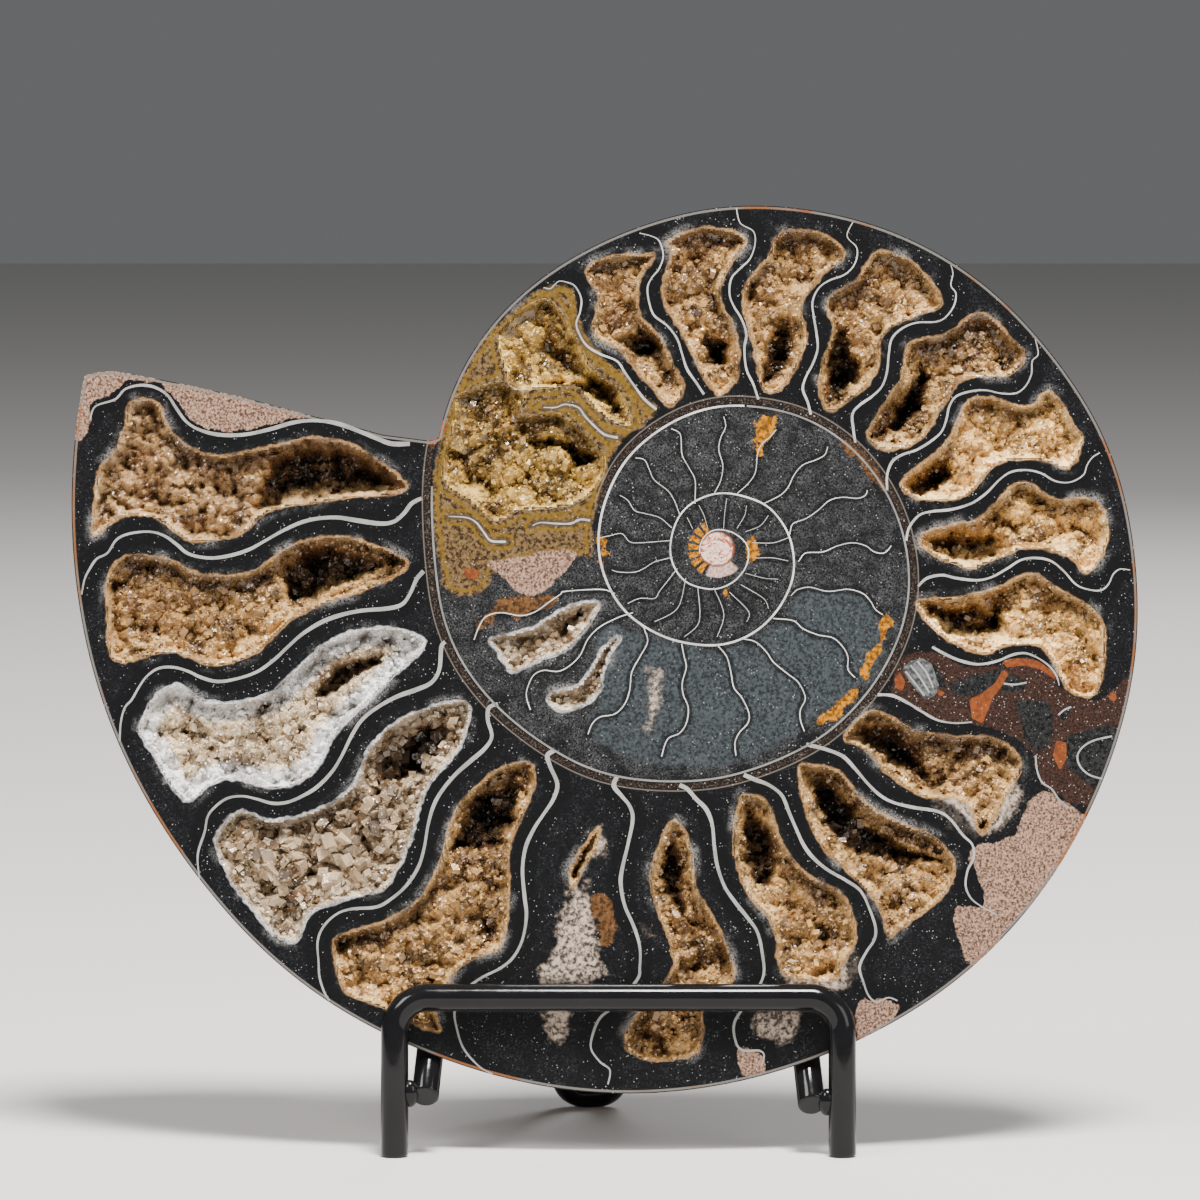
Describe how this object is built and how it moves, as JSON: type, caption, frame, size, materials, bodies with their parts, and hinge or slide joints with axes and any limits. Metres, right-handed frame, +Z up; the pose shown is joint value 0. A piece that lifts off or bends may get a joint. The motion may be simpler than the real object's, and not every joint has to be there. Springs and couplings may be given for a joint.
{
  "type": "polished cleoniceras ammonite half on a wire stand",
  "caption": "Cut and polished half of a large ammonite, its crystal-lined chambers showing, leaning back on a bent black wire easel.",
  "frame": {"origin": "middle of the footprint's bounding box, on the surface the stand rests on", "axes": "+X to the viewer's right along the longest extent, +Y from the polished face to the back, +Z up"},
  "size_m": [0.1632, 0.0596, 0.1437],
  "materials": {
    "polished_fossil": "polished",
    "calcite_crystals": "satin",
    "black_lacquer": "gloss"
  },
  "bodies": {
    "root": {"ammonite": "polished_fossil", "crystal_lining_01": "calcite_crystals", "crystal_lining_02": "calcite_crystals", "crystal_lining_03": "calcite_crystals", "crystal_lining_04": "calcite_crystals", "crystal_lining_05": "calcite_crystals", "crystal_lining_06": "calcite_crystals", "crystal_lining_07": "calcite_crystals", "crystal_lining_08": "calcite_crystals", "crystal_lining_09": "calcite_crystals", "crystal_lining_10": "calcite_crystals", "crystal_lining_11": "calcite_crystals", "crystal_lining_12": "calcite_crystals", "crystal_lining_13": "calcite_crystals", "crystal_lining_14": "calcite_crystals", "crystal_lining_15": "calcite_crystals", "crystal_lining_16": "calcite_crystals", "crystal_lining_17": "calcite_crystals", "crystal_lining_18": "calcite_crystals", "crystal_lining_19": "calcite_crystals", "crystal_lining_20": "calcite_crystals", "crystal_lining_21": "calcite_crystals", "crystal_lining_22": "calcite_crystals", "front_frame": "black_lacquer", "back_frame": "black_lacquer"}
  },
  "joints": []
}
